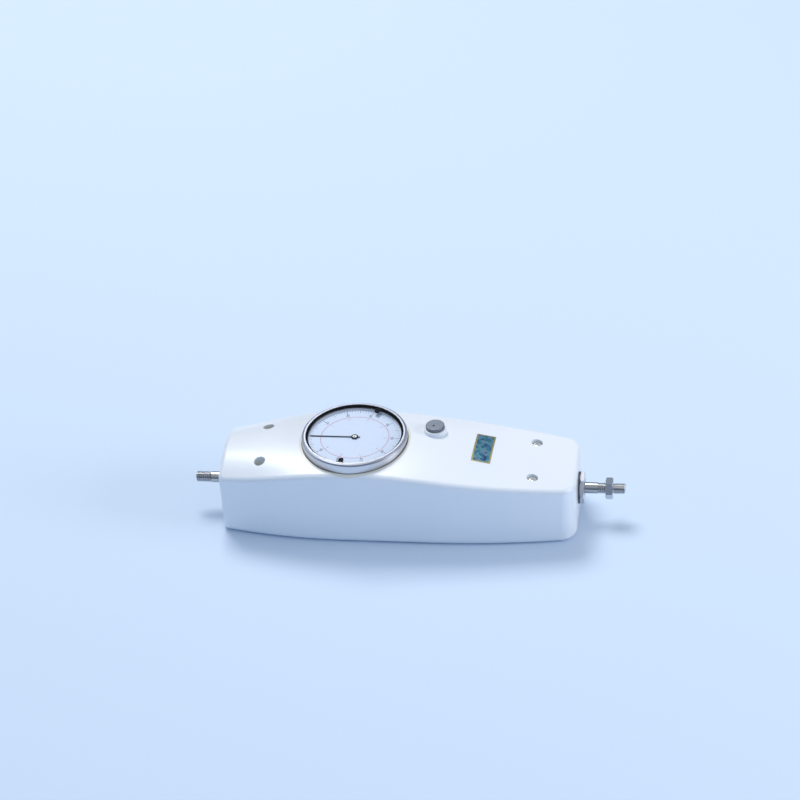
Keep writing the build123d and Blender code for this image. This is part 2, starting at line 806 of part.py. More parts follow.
hub_top = crystal_bottom - end_float
hub_bottom = hub_top - hub_cap_thickness - hub_height
needle_bottom = hub_bottom - pointer_thickness
with BuildPart() as pointer_arbor:
    with BuildSketch(Plane.XZ):
        with BuildLine():
            Polyline(
                (0, lower_plate_bottom),
                (arbor_radius, lower_plate_bottom),
                (arbor_radius, lower_plate_top + end_float),
                (arbor_body, lower_plate_top + end_float),
                (arbor_body, upper_plate_bottom - end_float),
                (arbor_radius, upper_plate_bottom - end_float),
                (arbor_radius, hub_top - hub_cap_thickness),
                (0, hub_top - hub_cap_thickness),
                close=True,
            )
        make_face()
    revolve(axis=Axis.Z)
    with BuildSketch(Plane.XY.offset(wheel_bottom - pinion_margin / 2)):
        add(gear_outline(centre_teeth, wheel_module, mesh_deg + 180 + 180 / centre_teeth))
    extrude(amount=wheel_thickness + pinion_margin)
pointer_arbor.part.label = "pointer_arbor"
export_step(pointer_arbor.part, "parts/pointer_arbor.step")

# ================================================================ movement plates
def movement_plate(bottom):
    """A plate of the movement, with its bush holes and its pillar holes."""
    with BuildPart() as plate:
        with BuildSketch(Plane.XY.offset(bottom)):
            RectangleRounded(
                2 * (pillar_x + plate_margin), 2 * (pillar_y + plate_margin), plate_margin
            )
            with Locations(*bearing_places):
                Circle(plate_bush_radius, mode=Mode.SUBTRACT)
            with Locations(*pillar_places):
                Circle(movement_screw_radius, mode=Mode.SUBTRACT)
        extrude(amount=plate_thickness)
    return plate.part


with BuildPart() as lower_plate:
    add(movement_plate(lower_plate_bottom))
lower_plate.part.label = "lower_plate"
export_step(lower_plate.part, "parts/lower_plate.step")

with BuildPart() as upper_plate:
    add(movement_plate(upper_plate_bottom))
upper_plate.part.label = "upper_plate"
export_step(upper_plate.part, "parts/upper_plate.step")

with BuildPart() as plate_bushes:
    with BuildSketch(idler_axis_plane.offset(chassis_bottom)):
        Circle(plate_bush_radius)
        Circle(arbor_radius + running_fit, mode=Mode.SUBTRACT)
    extrude(amount=chassis_plate)
    for bottom in (lower_plate_bottom, upper_plate_bottom):
        with BuildSketch(Plane.XY.offset(bottom)):
            with Locations(*bearing_places):
                Circle(plate_bush_radius)
                Circle(arbor_radius + running_fit, mode=Mode.SUBTRACT)
        extrude(amount=plate_thickness)
plate_bushes.part.label = "plate_bushes"
export_step(plate_bushes.part, "parts/plate_bushes.step")

with BuildPart() as lower_pillars:
    with BuildSketch(Plane.XY.offset(chassis_top)):
        with Locations(*pillar_places):
            Circle(pillar_radius)
    extrude(amount=lower_plate_bottom - chassis_top)
    # spigots riveted in the lower plate
    with BuildSketch(Plane.XY.offset(lower_plate_bottom)):
        with Locations(*pillar_places):
            Circle(movement_screw_radius)
    extrude(amount=plate_thickness)
lower_pillars.part.label = "lower_pillars"
export_step(lower_pillars.part, "parts/lower_pillars.step")

with BuildPart() as upper_pillars:
    with BuildSketch(Plane.XY.offset(lower_plate_top)):
        with Locations(*pillar_places):
            Circle(pillar_radius)
    extrude(amount=upper_plate_bottom - lower_plate_top)
upper_pillars.part.label = "upper_pillars"
export_step(upper_pillars.part, "parts/upper_pillars.step")

with BuildPart() as movement_screws:
    with BuildSketch(Plane.XY.offset(upper_plate_top)):
        with Locations(*pillar_places):
            Circle(movement_head_radius)
    extrude(amount=movement_head_height)
    with BuildSketch(Plane.XY.offset(upper_plate_bottom)):
        with Locations(*pillar_places):
            Circle(movement_screw_radius)
    extrude(amount=plate_thickness)
movement_screws.part.label = "movement_screws"
export_step(movement_screws.part, "parts/movement_screws.step")

# ================================================================ dial
def wedge(opening_deg):
    """A sector about the dial's axis, wider than the bezel, with its middle along +X."""
    along = 2 * bezel_radius
    aside = along * tan(radians(opening_deg / 2))
    with BuildSketch() as sector:
        with BuildLine():
            Polyline((0, 0), (along, aside), (along, -aside), close=True)
        make_face()
    return sector.sketch


with BuildPart() as bezel:
    with BuildSketch(Plane.XZ):
        with BuildLine():
            Polyline(
                (bezel_radius, bezel_bottom),
                (bezel_radius, rim_top - rim_round),
                (bezel_radius - rim_round * rim_shoulder, rim_top - rim_round * rim_shoulder),
                (bezel_radius - rim_round, rim_top),
                (rim_radius + lip / 2, rim_top),
                (rim_radius, rim_top - lip / 2),
                (rim_radius, slot_top),
                (rim_radius + marker_slot_depth, slot_top),
                (rim_radius + marker_slot_depth, slot_bottom),
                (rim_radius, slot_bottom),
                (rim_radius, dial_bottom),
                (rim_radius - shelf_width, dial_bottom),
                (rim_radius - shelf_width, shelf_bottom),
                (skirt_radius, shelf_bottom),
                (skirt_radius, snap_ring_bottom + snap_ring_height),
                (skirt_radius + snap_ring_depth, snap_ring_bottom + snap_ring_height),
                (skirt_radius + snap_ring_depth, snap_ring_bottom),
                (skirt_radius, snap_ring_bottom),
                (skirt_radius, bezel_bottom),
                close=True,
            )
        make_face()
    revolve(axis=Axis.Z)
bezel.part.label = "bezel"
export_step(bezel.part, "parts/bezel.step")

with BuildPart() as dial_face:
    with BuildSketch(Plane.XY.offset(dial_bottom)):
        Circle(inlay_radius)
        Circle(arbor_radius + free_gap, mode=Mode.SUBTRACT)
    extrude(amount=dial_thickness)
dial_face.part.label = "dial_face"
export_step(dial_face.part, "parts/dial_face.step")

with BuildPart() as dial_spacer:
    with BuildSketch(Plane.XY.offset(dial_top)):
        Circle(inlay_radius)
        Circle(inlay_radius - spacer_width, mode=Mode.SUBTRACT)
    extrude(amount=pointer_space)
dial_spacer.part.label = "dial_spacer"
export_step(dial_spacer.part, "parts/dial_spacer.step")

with BuildPart() as crystal:
    with BuildSketch(Plane.XY.offset(crystal_bottom)):
        Circle(inlay_radius)
    extrude(amount=crystal_thickness)
crystal.part.label = "crystal"
export_step(crystal.part, "parts/crystal.step")

with BuildPart() as snap_ring:
    with BuildSketch(Plane.XY.offset(snap_ring_bottom)):
        Circle(skirt_radius + snap_ring_depth)
        Circle(skirt_radius - snap_ring_depth, mode=Mode.SUBTRACT)
        add(wedge(snap_ring_gap_deg), mode=Mode.SUBTRACT)
    extrude(amount=snap_ring_height)
snap_ring.part.label = "snap_ring"
export_step(snap_ring.part, "parts/snap_ring.step")

with BuildPart() as pointer:
    with BuildSketch(Plane.XY.offset(needle_bottom)):
        with BuildLine():
            Polyline(
                (-pointer_reach, 0),
                (-pointer_reach + pointer_width, pointer_width / 2),
                (pointer_tail, pointer_width / 2),
                (pointer_tail, -pointer_width / 2),
                (-pointer_reach + pointer_width, -pointer_width / 2),
                close=True,
            )
        make_face()
        Circle(hub_radius)
        Circle(arbor_radius, mode=Mode.SUBTRACT)
    extrude(amount=pointer_thickness)
pointer.part.label = "pointer"
export_step(pointer.part, "parts/pointer.step")

with BuildPart() as pointer_hub:
    with BuildSketch(Plane.XY.offset(hub_bottom)):
        Circle(hub_radius)
        Circle(arbor_radius, mode=Mode.SUBTRACT)
    extrude(amount=hub_height)
pointer_hub.part.label = "pointer_hub"
export_step(pointer_hub.part, "parts/pointer_hub.step")

with BuildPart() as hub_cap:
    with BuildSketch(Plane.XY.offset(hub_top - hub_cap_thickness)):
        Circle(hub_cap_radius)
    extrude(amount=hub_cap_thickness)
hub_cap.part.label = "hub_cap"
export_step(hub_cap.part, "parts/hub_cap.step")


def limit_marker(direction):
    """A black tab over the crystal whose foot slides in the bezel's slot."""
    foot_bottom = slot_bottom + lap_gap
    foot = marker_slot - 2 * lap_gap
    foot_outer = rim_radius + marker_slot_depth - lap_gap
    foot_inner = rim_radius - marker_width / 2
    with BuildPart() as marker:
        with BuildSketch(Plane.XY.offset(foot_bottom)):
            Circle(foot_outer)
            Circle(foot_inner, mode=Mode.SUBTRACT)
            add(wedge(marker_foot_deg), mode=Mode.INTERSECT)
        extrude(amount=foot)
        tab_outer = rim_radius - free_gap
        tab_length = tab_outer - marker_tip_radius
        with BuildSketch(Plane.XY.offset(foot_bottom)):
            with Locations((marker_tip_radius + marker_width / 2, 0)):
                Circle(marker_width / 2)
            with Locations((tab_outer - (tab_length - marker_width / 2) / 2, 0)):
                Rectangle(tab_length - marker_width / 2, marker_width)
        extrude(amount=foot + marker_tab_rise)
    return marker.part.rotate(Axis.Z, direction)


with BuildPart() as limit_marker_a:
    add(limit_marker(marker_a_deg))
limit_marker_a.part.label = "limit_marker_a"
export_step(limit_marker_a.part, "parts/limit_marker_a.step")

with BuildPart() as limit_marker_b:
    add(limit_marker(marker_b_deg))
limit_marker_b.part.label = "limit_marker_b"
export_step(limit_marker_b.part, "parts/limit_marker_b.step")

# ================================================================ button
cap_top = boss_top + cap_proud
cap_bottom = boss_top - cap_skirt
well_bottom = boss_top - well_depth
shell_under = well_bottom - well_floor

with BuildPart() as button_cap:
    with BuildSketch(Plane.XY.offset(cap_bottom)):
        with Locations((button_x, button_y)):
            Circle(cap_radius)
    extrude(amount=cap_top - cap_bottom)
    fillet(button_cap.edges().group_by(Axis.Z)[-1], cap_dome)
    with BuildSketch(Plane.XY.offset(cap_bottom)):
        with Locations((button_x, button_y)):
            Circle(stem_radius)
    extrude(amount=cap_skirt, mode=Mode.SUBTRACT)
button_cap.part.label = "button_cap"
export_step(button_cap.part, "parts/button_cap.step")

clip_bottom = shell_under - free_gap - clip_thickness
stem_bottom = clip_bottom - clip_thickness
with BuildPart() as button_stem:
    with BuildSketch(Plane.XY.offset(stem_bottom)):
        with Locations((button_x, button_y)):
            Circle(stem_radius)
    extrude(amount=cap_bottom + cap_skirt - stem_bottom)
button_stem.part.label = "button_stem"
export_step(button_stem.part, "parts/button_stem.step")

with BuildPart() as stem_clip:
    with BuildSketch(Plane.XY.offset(clip_bottom)):
        with Locations((button_x, button_y)):
            Circle(clip_radius)
            Circle(stem_radius, mode=Mode.SUBTRACT)
    extrude(amount=clip_thickness)
stem_clip.part.label = "stem_clip"
export_step(stem_clip.part, "parts/stem_clip.step")

with BuildPart() as button_spring:
    spring_base = Plane(origin=(button_x, button_y, well_bottom))
    add(coil_spring(spring_base, cap_bottom - well_bottom, button_coil, button_wire, button_turns))
button_spring.part.label = "button_spring"
export_step(button_spring.part, "parts/button_spring.step")
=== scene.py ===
# %% [markdown]
# # A dial force gauge
#
# A push and pull force gauge in a moulded white case: a round dial under glass, a button
# beside it, and a steel shaft that comes out at both ends. The bodies, their sizes and
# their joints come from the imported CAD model. This script gives them their finishes, and
# makes what is too fine for the CAD: threads, screw heads, the dial's printing, the label.

import math

import bmesh
import bpy
from mathutils import Matrix, Vector
from mathutils.bvhtree import BVHTree


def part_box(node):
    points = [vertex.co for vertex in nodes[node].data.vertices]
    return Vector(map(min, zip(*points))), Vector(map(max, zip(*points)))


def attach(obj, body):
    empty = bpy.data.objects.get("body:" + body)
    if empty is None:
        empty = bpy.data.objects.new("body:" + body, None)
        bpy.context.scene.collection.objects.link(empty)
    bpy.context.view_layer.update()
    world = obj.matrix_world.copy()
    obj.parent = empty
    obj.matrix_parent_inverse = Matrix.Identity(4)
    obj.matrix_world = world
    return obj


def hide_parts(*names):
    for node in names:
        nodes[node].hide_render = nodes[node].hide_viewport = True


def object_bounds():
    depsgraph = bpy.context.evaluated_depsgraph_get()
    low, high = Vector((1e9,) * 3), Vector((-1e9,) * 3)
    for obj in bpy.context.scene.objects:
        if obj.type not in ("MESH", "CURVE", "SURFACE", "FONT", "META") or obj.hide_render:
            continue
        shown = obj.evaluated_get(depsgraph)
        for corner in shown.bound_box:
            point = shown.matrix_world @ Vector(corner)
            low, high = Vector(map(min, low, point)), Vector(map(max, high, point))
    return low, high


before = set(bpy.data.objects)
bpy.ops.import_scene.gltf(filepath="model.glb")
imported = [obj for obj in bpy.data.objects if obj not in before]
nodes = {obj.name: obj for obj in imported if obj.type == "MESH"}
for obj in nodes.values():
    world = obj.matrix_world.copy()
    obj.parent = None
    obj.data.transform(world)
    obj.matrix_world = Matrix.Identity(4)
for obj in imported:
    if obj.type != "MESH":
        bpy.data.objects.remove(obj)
mm = 0.001
cad_box = [list(corner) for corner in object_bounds()]
print("CAD box:", cad_box)


def stand(name, data):
    """Puts a new object with this data into the scene."""
    made = bpy.data.objects.new(name, data)
    bpy.context.scene.collection.objects.link(made)
    return made

# %% [markdown]
# ## Camera
#
# The camera stands in front of the gauge, a little to the right, and looks down at it from
# about 36 degrees. A long lens from 1.5 m away keeps the case's long sides almost parallel.
# Its matrix is built from three angles, so that no shift of the lens is needed.

# %% Camera
camera_turn = math.radians(9.5006)
camera_height = math.radians(35.7202)
camera_roll = math.radians(-4.1278)
camera_place = Vector((221.587, -1171.286, 926.286)) * mm

back = Vector(
    (
        math.sin(camera_turn) * math.cos(camera_height),
        -math.cos(camera_turn) * math.cos(camera_height),
        math.sin(camera_height),
    )
)
level = (-back).cross(Vector((0, 0, 1))).normalized()
upright = level.cross(-back)
side = level * math.cos(camera_roll) + upright * math.sin(camera_roll)
top = upright * math.cos(camera_roll) - level * math.sin(camera_roll)
turned = Matrix((side, top, back)).transposed().to_4x4()
camera = stand("camera", bpy.data.cameras.new("camera"))
camera.matrix_world = Matrix.Translation(camera_place) @ turned
camera.data.lens = 126.395
camera.data.sensor_width = 36.0
camera.data.clip_start = 0.05
camera.data.clip_end = 20.0
bpy.context.scene.camera = camera
bpy.context.scene.view_settings.view_transform = "Standard"
print("Camera distance:", round(camera_place.length, 3), "m")

# %% [markdown]
# ## Arithmetic in node trees
#
# A pattern in a material is arithmetic on the place of each point, and so is a row of marks
# in a Geometry Nodes tree. `Number` wraps a socket, so that the arithmetic can be written as
# plain Python, and `Tree` adds any node: its type, its settings, then its sockets.


# %% Node trees
class Number:
    """A value inside a node tree. Each operation on it adds one Math node."""

    def __init__(self, tree, socket):
        self.tree = tree
        self.socket = socket

    def maths(self, operation, *values):
        return self.tree.add("ShaderNodeMath", {"operation": operation}, dict(enumerate(values)))

    def __add__(self, other):
        return self.maths("ADD", self, other)

    def __radd__(self, other):
        return self.maths("ADD", other, self)

    def __sub__(self, other):
        return self.maths("SUBTRACT", self, other)

    def __rsub__(self, other):
        return self.maths("SUBTRACT", other, self)

    def __mul__(self, other):
        return self.maths("MULTIPLY", self, other)

    def __rmul__(self, other):
        return self.maths("MULTIPLY", other, self)

    def __truediv__(self, other):
        return self.maths("DIVIDE", self, other)

    def __gt__(self, other):
        return self.maths("GREATER_THAN", self, other)

    def __lt__(self, other):
        return self.maths("LESS_THAN", self, other)

    def __mod__(self, other):
        return self.maths("FLOORED_MODULO", self, other)

    def root(self):
        return self.maths("SQRT", self)

    def whole(self):
        return self.maths("ABSOLUTE", self)

    def most(self, other):
        return self.maths("MAXIMUM", self, other)


class Tree:
    """A node tree of a material or of Geometry Nodes."""

    def __init__(self, tree):
        self.tree = tree

    def add(self, kind, settings=None, values=None, output=0):
        """Adds a node, sets its settings, then its sockets, and returns one output."""
        node = self.tree.nodes.new(kind)
        for setting, value in (settings or {}).items():
            if setting == "stops":
                stops = node.color_ramp.elements
                while len(stops) < len(value):
                    stops.new(0.5)
                for stop, (where, shade) in zip(stops, value):
                    stop.position = where
                    stop.color = (*shade, 1.0)
            else:
                setattr(node, setting, value)
        for socket, value in (values or {}).items():
            if isinstance(value, Number):
                self.tree.links.new(value.socket, node.inputs[socket])
            else:
                node.inputs[socket].default_value = value
        return Number(self, node.outputs[output])


class Finish(Tree):
    """One material, with a Principled shader whose fixed sockets are given by name."""

    def __init__(self, name, **fixed):
        self.material = bpy.data.materials.new(name)
        self.material.use_nodes = True
        super().__init__(self.material.node_tree)
        self.shader = self.tree.nodes["Principled BSDF"]
        for socket, value in fixed.items():
            self.shader.inputs[socket.replace("_", " ").title()].default_value = value
        self.place = self.add("ShaderNodeTexCoord", output="Object")

    def axes(self):
        """The X, Y and Z of a point, in millimetres."""
        scaled = self.add(
            "ShaderNodeVectorMath", {"operation": "SCALE"}, {"Vector": self.place, "Scale": 1 / mm}
        )
        return [self.add("ShaderNodeSeparateXYZ", None, {0: scaled}, axis) for axis in "XYZ"]

    def noise(self, size, detail=2.0, stretch=(1, 1, 1)):
        """Cloudy noise, from 0 to 1, whose lumps are about size millimetres across."""
        spread = self.add("ShaderNodeMapping", None, {"Vector": self.place, "Scale": stretch})
        return self.add(
            "ShaderNodeTexNoise", None, {"Vector": spread, "Scale": 1 / (size * mm), "Detail": detail}
        )

    def blend(self, share, first, second):
        """A colour between two others, by share."""
        return self.add("ShaderNodeMix", {"data_type": "RGBA"}, {0: share, 6: first, 7: second}, 2)

    def bump(self, height, depth, strength=1.0):
        """Lets the surface rise with height, by depth millimetres at most."""
        values = {"Height": height, "Distance": depth * mm, "Strength": strength}
        self.feed("Normal", self.add("ShaderNodeBump", None, values))

    def feed(self, socket, value):
        self.tree.links.new(value.socket, self.shader.inputs[socket])


def dress(finish, *names):
    """Gives CAD nodes a finish."""
    for name in names:
        slots = nodes[name].data.materials
        slots.clear()
        slots.append(finish.material)


# %% [markdown]
# ## The moulded case
#
# Both shells are moulded in a white plastic with a satin gloss. A mould leaves a very fine
# ripple, and handling leaves faint duller clouds, so both go into the finish. The ring
# that the dial sits in is painted a darker cream: painted shade, for the shadow it lies
# in beside the bezel. The walls of the screw recesses are painted a little darker: painted
# shade in the hollows.

# %% Case
ring_inner, ring_outer, ring_bottom = 25.0, 29.7, 36.0
screw_left, screw_side = -49.0, 15.2
recess_radius, recess_floor, recess_mouth = 3.1, 30.0, 40.4

case_white = Finish("case_white", coat_weight=0.3, coat_roughness=0.2)
x, y, z = case_white.axes()
across = (x * x + y * y).root()
ring_shade_mask = (across < ring_outer) * (across > ring_inner) * (z > ring_bottom)
along, over = x - screw_left, y.whole() - screw_side
recess_shade_mask = (z < recess_mouth) * (z > recess_floor) * (along * along + over * over < recess_radius**2)
clouds = case_white.noise(38, 3)
tint = case_white.blend(clouds, (0.78, 0.81, 0.87, 1), (0.82, 0.85, 0.90, 1))
# painted shade: the ring around the dial is tinted a darker cream where it lies in shadow beside the bezel
tint_and_ring_shade = case_white.blend(ring_shade_mask, tint, (0.74, 0.72, 0.66, 1))
# painted shade: the walls of the screw recesses are blended towards a darker grey
case_white.feed("Base Color", case_white.blend(recess_shade_mask * 0.7, tint_and_ring_shade, (0.74, 0.74, 0.70, 1)))
case_white.feed("Roughness", 0.27 + 0.12 * case_white.noise(14, 4))
case_white.bump(case_white.noise(0.9, 2), 0.012)
dress(case_white, "front_shell", "rear_shell")

# %% [markdown]
# ## Metals
#
# Every metal piece was turned, ground, drawn or plated, and each way leaves its own lines.
# One function makes them all: the colour, how dull it is, and which way its lines run.

# %% Metals


def metal(name, shade, dullness, lines, depth=0.004, bare=1.0):
    """A bare or plated metal. lines stretches the noise: small along the tool's path."""
    finish = Finish(name, metallic=bare)
    streaks = finish.noise(0.5, 3, lines)
    darker = tuple(0.82 * part for part in shade)
    finish.feed("Base Color", finish.blend(streaks, (*darker, 1), (*shade, 1)))
    finish.feed("Roughness", dullness + dullness * 0.8 * (finish.noise(6, 3) - 0.5))
    finish.bump(streaks, depth)
    return finish


polished = metal("polished_steel", (0.56, 0.56, 0.57), 0.14, (1, 0.03, 0.03), 0.002)
ground = metal("ground_steel", (0.60, 0.61, 0.63), 0.3, (0.04, 1, 1))
dull_steel = metal("dull_steel", (0.16, 0.16, 0.18), 0.42, (1, 1, 1))
chrome = metal("chrome_plate", (0.62, 0.64, 0.70), 0.08, (1, 1, 1), 0.001)
nickel = metal("dull_nickel", (0.80, 0.80, 0.84), 0.34, (0.05, 1, 1))
zinc = metal("zinc_plate", (0.80, 0.80, 0.78), 0.34, (1, 1, 1), bare=0.6)
brass = metal("turned_brass", (0.80, 0.60, 0.27), 0.24, (1, 1, 0.06))
rolled = metal("rolled_plate", (0.60, 0.61, 0.63), 0.36, (0.03, 1, 1))
spring_steel = metal("spring_wire", (0.34, 0.34, 0.36), 0.34, (0.2, 1, 1))
spacer_grey = metal("spacer_grey", (0.66, 0.66, 0.70), 0.35, (0.2, 0.2, 1), bare=0.2)
dress(polished, "measuring_shaft", "pointer_arbor")
dress(ground, "spring_collar", "collar_pin", "rack", "left_bush", "right_bush", "button_stem")
dress(dull_steel, "bush_washer", "snap_ring", "stem_clip")
dress(chrome, "lock_nut")
dress(nickel, "bush_nut")
dress(zinc, "hub_cap", "case_screws", "chassis_screws", "movement_screws", "rack_screws")
dress(brass, "mount_inserts", "plate_bushes", "lower_pillars", "upper_pillars")
dress(brass, "rack_pinion", "idler_wheel")
dress(rolled, "chassis", "lower_plate", "upper_plate")
dress(spring_steel, "pull_spring", "push_spring", "button_spring")
dress(spacer_grey, "dial_spacer")

# %% [markdown]
# ## The bezel, and the black wall inside it
#
# The ring around the glass is turned and satin plated. Its flat top is painted darker than its
# outer wall: painted shade, which keeps the lamp's reflection there from going white. Its
# inner wall is painted black, so that it throws no light on the dial.

# %% Bezel
bore_radius, bore_top = 25.85, 49.86
slot_radius, slot_bottom, slot_top = 26.3, 48.8, 49.4
outer_wall_top = 48.8
lines_across, lines_down = 9.0, 6.0

bezel = Finish("satin_bezel")
x, y, z = bezel.axes()
across = (x * x + y * y).root()
bore = (across < bore_radius) * (z < bore_top)
slot = (across > bore_radius) * (across < slot_radius) * (z > slot_bottom) * (z < slot_top)
inner_wall = bore + slot
turning = bezel.add(
    "ShaderNodeTexNoise",
    {"noise_dimensions": "1D"},
    {"W": across * lines_across + z * lines_down, "Scale": 1.0, "Detail": 2.0},
)
face = bezel.blend(turning, (0.45, 0.47, 0.53, 1), (0.56, 0.58, 0.65, 1))
wall = bezel.blend(turning, (0.62, 0.63, 0.67, 1), (0.74, 0.75, 0.79, 1))
# painted shade: above outer_wall_top the flat top gets a darker silver than the outer wall
silver = bezel.blend(z < outer_wall_top, face, wall)
bezel.feed("Base Color", bezel.blend(inner_wall, silver, (0.006, 0.006, 0.010, 1)))
bezel.feed("Metallic", 1 - inner_wall)
bezel.feed("Roughness", 0.28 + 0.08 * turning + 0.2 * inner_wall)
bezel.bump(turning, 0.0006)
dress(bezel, "bezel")

# %% [markdown]
# ## The glass
#
# A flat window 0.7 mm thick hardly bends light. A thin skin that reflects more at a
# grazing angle and lets the rest pass straight through looks the same, and does not darken
# what lies under it. Only the outer side of the skin reflects.

# %% Glass
glass = Finish("dial_glass", base_color=(0.95, 0.97, 1.0, 1), metallic=1.0, roughness=0.03)
fresnel = glass.add("ShaderNodeFresnel", None, {"IOR": 1.45})
inside = glass.add("ShaderNodeNewGeometry", output="Backfacing")
glass.feed("Alpha", (0.004 + 0.3 * fresnel + 0.01 * glass.noise(9, 3)) * (1 - inside))
dress(glass, "crystal")

# %% [markdown]
# ## Paints, plastics and print
#
# Paint and moulded plastic are never quite even: their colour drifts by a few percent and
# their gloss by a little more. The button's cap is cast, so it is rougher.

# %% Paints and plastics


def paint(name, shade, dullness, ripple=0.6, variation=0.25):
    """Paint or plastic with slight clouds in its colour and a fine ripple."""
    finish = Finish(name)
    lighter = tuple(min(1.0, part * (1 + variation) + 0.004) for part in shade)
    finish.feed("Base Color", finish.blend(finish.noise(3, 4), (*shade, 1), (*lighter, 1)))
    finish.feed("Roughness", dullness + 0.15 * finish.noise(2, 3))
    finish.bump(finish.noise(ripple, 2), 0.006)
    return finish


needle_black = paint("needle_black", (0.010, 0.016, 0.030), 0.30)
marker_black = paint("marker_black", (0.004, 0.004, 0.006), 0.6)
rubber = paint("rubber", (0.003, 0.003, 0.005), 0.8)
for black in (needle_black, marker_black, rubber):
    black.shader.inputs["Specular IOR Level"].default_value = 0.12
print_black = paint("print_black", (0.030, 0.036, 0.075), 0.5)
print_red = paint("print_red", (0.46, 0.11, 0.19), 0.5)
dial_silver = paint("dial_silver", (0.58, 0.67, 0.82), 0.34, variation=0.06)
dress(needle_black, "pointer", "pointer_hub")
dress(marker_black, "limit_marker_a", "limit_marker_b")
dress(dial_silver, "dial_face")

button_grey = Finish("button_grey", metallic=0.6)
dark_grey, light_grey = (0.07, 0.085, 0.11, 1), (0.27, 0.30, 0.35, 1)
button_grey.feed("Base Color", button_grey.blend(button_grey.noise(0.8, 5), dark_grey, light_grey))
button_grey.feed("Roughness", 0.36 + 0.2 * button_grey.noise(1.2, 3))
button_grey.bump(button_grey.noise(0.3, 3), 0.02)
dress(button_grey, "button_cap")

# %% [markdown]
# ## From a mesh to a piece
#
# Every piece that is made here ends the same way: doubled points are merged, the faces are
# turned outwards, sharp edges stay sharp, and the piece rides on the body that carries it.

# %% Pieces
weld_distance = 1e-7
sharp_edge = math.radians(32)


def mesh_of(name, shape):
    """A mesh from a bmesh, which is freed."""
    mesh = bpy.data.meshes.new(name)
    shape.to_mesh(mesh)
    shape.free()
    return mesh


def evaluated(thing):
    """What an object becomes with its modifiers, as a plain mesh."""
    graph = bpy.context.evaluated_depsgraph_get()
    return bpy.data.meshes.new_from_object(thing.evaluated_get(graph), depsgraph=graph)


def piece(name, shape, body, finish, like=None):
    """Turns a bmesh into a finished object that rides on a body."""
    bmesh.ops.remove_doubles(shape, verts=shape.verts, dist=weld_distance)
    bmesh.ops.recalc_face_normals(shape, faces=shape.faces)
    return carry(name, mesh_of(name, shape), body, finish, like)


def spot(point):
    """A place in whole hundredths of a millimetre, the same for one point of two meshes."""
    return tuple(round(part / (0.01 * mm)) for part in point)


def shade_like(mesh, model):
    """Takes the shading over from the mesh that a piece was cut from, point by point."""
    known = {}
    for loop, normal in zip(model.loops, model.corner_normals):
        place = spot(model.vertices[loop.vertex_index].co)
        known.setdefault(place, []).append(normal.vector.copy())
    normals = [normal.vector.copy() for normal in mesh.corner_normals]
    for face in mesh.polygons:
        for index in face.loop_indices:
            choices = known.get(spot(mesh.vertices[mesh.loops[index].vertex_index].co))
            if choices:
                normals[index] = max(choices, key=face.normal.dot)
    mesh.normals_split_custom_set(normals)


def carry(name, mesh, body, finish, like=None):
    """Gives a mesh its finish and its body. Large faces lead the shading."""
    mesh.materials.clear()
    mesh.materials.append(finish.material)
    mesh.polygons.foreach_set("use_smooth", [True] * len(mesh.polygons))
    mesh.set_sharp_from_angle(angle=sharp_edge)
    made = stand(name, mesh)
    even = made.modifiers.new("even", "WEIGHTED_NORMAL")
    even.keep_sharp = True
    even.weight = 100
    shaded = evaluated(made)
    made.modifiers.clear()
    made.data = shaded
    if like:
        shade_like(shaded, like)
    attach(made, body)
    print(name, "has", len(mesh.polygons), "faces")
    return made


def level_circle(radius, rise, parts, centre=(0, 0)):
    """A level circle of points around a centre. All sizes are millimetres."""
    turns = [2 * math.pi * part / parts for part in range(parts)]
    return [
        ((centre[0] + radius * math.cos(turn)) * mm, (centre[1] + radius * math.sin(turn)) * mm, rise * mm)
        for turn in turns
    ]


def rings(shape, circles):
    """Joins circles of points into a closed tube with a flat cap at each end."""
    loops = [[shape.verts.new(point) for point in circle] for circle in circles]
    for first, second in zip(loops, loops[1:]):
        for near, far in zip(range(len(first)), [*range(1, len(first)), 0]):
            shape.faces.new((first[near], first[far], second[far], second[near]))
    shape.faces.new(loops[0])
    shape.faces.new(loops[-1])


def revolve(shape, profile, parts):
    """Turns a closed profile of (radius, height) points around the dial's axis."""
    loops = []
    for part in range(parts):
        angle = 2 * math.pi * part / parts
        across, over = math.cos(angle) * mm, math.sin(angle) * mm
        points = [(radius * across, radius * over, rise * mm) for radius, rise in profile]
        loops.append([shape.verts.new(point) for point in points])
    for here, there in zip(loops, [*loops[1:], loops[0]]):
        for corner, after in zip(range(len(profile)), [*range(1, len(profile)), 0]):
            shape.faces.new((here[corner], here[after], there[after], there[corner]))


# %% [markdown]
# ## Rounded corners at the long end
#
# The mould's corners at the long end are rounded with a radius of 7.5 mm, so both shells
# are redrawn from copies. Cuts that fan out from each corner's centre give the faces the
# points they need, and every point beyond the centre is then drawn in along its own ray,
# which turns the square corner into a round one and keeps the wall's thickness.

# %% Rounded corners
corner_radius = 7.5
corner_cuts = 9
cut_slack = 0.02
end_slack = 0.05


def fan_out(shape, along, across, side):
    """Cuts the faces of one corner along rays from the corner's centre."""
    for step in range(corner_cuts + 1):
        angle = math.pi / 2 * step / corner_cuts
        faces = [
            face
            for face in shape.faces
            if max(point.co.x for point in face.verts) > along * mm
            and max(side * point.co.y for point in face.verts) > across * mm
        ]
        edges = {edge for face in faces for edge in face.edges}
        points = {point for face in faces for point in face.verts}
        bmesh.ops.bisect_plane(
            shape,
            geom=[*points, *edges, *faces],
            dist=cut_slack * mm,
            plane_co=(along * mm, side * across * mm, 0),
            plane_no=(math.sin(angle), -side * math.cos(angle), 0),
        )


def draw_in(shape, along, across, side):
    """Draws the points beyond the corner's centre in along their rays, from square to round."""
    for point in shape.verts:
        beyond = Vector((point.co.x / mm - along, side * point.co.y / mm - across))
        if min(beyond) > 1e-4:
            drawn = beyond * (max(beyond) / beyond.length)
            point.co.x = (along + drawn.x) * mm
            point.co.y = side * (across + drawn.y) * mm


